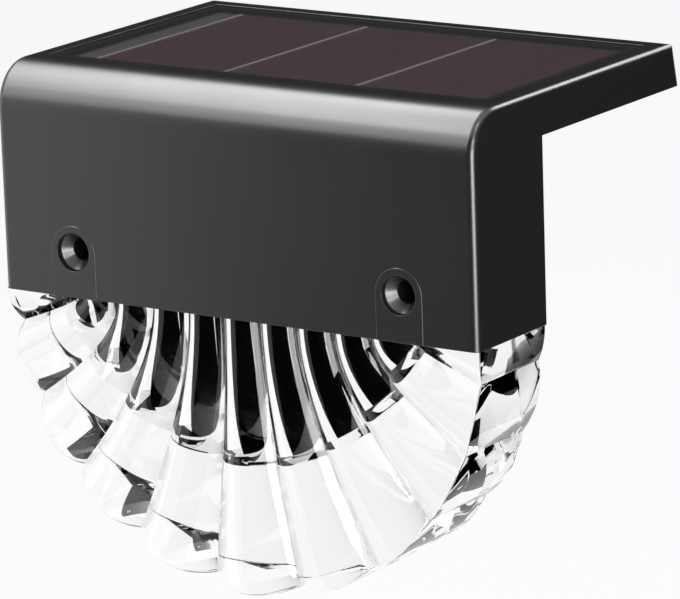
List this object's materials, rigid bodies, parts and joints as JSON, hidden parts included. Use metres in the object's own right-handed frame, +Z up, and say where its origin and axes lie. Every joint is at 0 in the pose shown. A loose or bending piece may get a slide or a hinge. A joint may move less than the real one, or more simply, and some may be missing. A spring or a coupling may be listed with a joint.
{
  "type": "solar fence light",
  "caption": "Solar fence light: an L-shaped housing that hooks over a rail, a solar panel on top and a clear fluted half-round lens with a slotted black shade below.",
  "frame": {"origin": "midway between the two mounting screw holes, on the face that lies against the fence", "axes": "+X across the light, +Y from its front into the fence, +Z up"},
  "size_m": [0.115, 0.0781, 0.1045],
  "materials": {
    "housing": "moulded black, fine satin",
    "lens": "clear acrylic",
    "shade": "deep matt black",
    "seal": "soft black",
    "backing": "matt board",
    "cells": "dark silicon",
    "ribbon": "tinned ribbon",
    "panel_cover": "clear epoxy",
    "inner_plastic": "moulded black",
    "battery": "green sleeve",
    "contact": "nickel plate",
    "board": "green solder mask",
    "chip": "moulded black",
    "copper": "enamelled copper winding",
    "can": "sleeved can",
    "switch_case": "stamped steel",
    "knob": "light grey",
    "led_board": "white solder mask",
    "led": "phosphor in a white package",
    "screw": "zinc plate",
    "lead": "insulated wire"
  },
  "bodies": {
    "housing": {"front_shell": "housing", "rear_cover": "housing", "lens": "lens", "shade": "shade", "lens_seal": "seal", "panel_seal": "seal", "panel_backing": "backing", "solar_cells": "cells", "busbars": "ribbon", "panel_cover": "panel_cover", "battery_cradle": "inner_plastic", "battery_cell": "battery", "positive_contact": "contact", "negative_spring": "contact", "control_board": "board", "control_chip": "chip", "choke_coil": "copper", "filter_capacitor": "can", "switch_body": "switch_case", "led_board": "led_board", "led_chips": "led", "cover_screws": "screw", "board_screws": "screw", "led_board_screws": "screw", "panel_leads": "lead", "battery_leads": "lead", "led_leads": "lead"},
    "switch": {"switch_knob": "knob"}
  },
  "joints": [
    {"name": "switch_slide", "type": "slide", "parent": "housing", "child": "switch", "axis": [1, 0, 0], "range_m": [0, 0.002]}
  ]
}
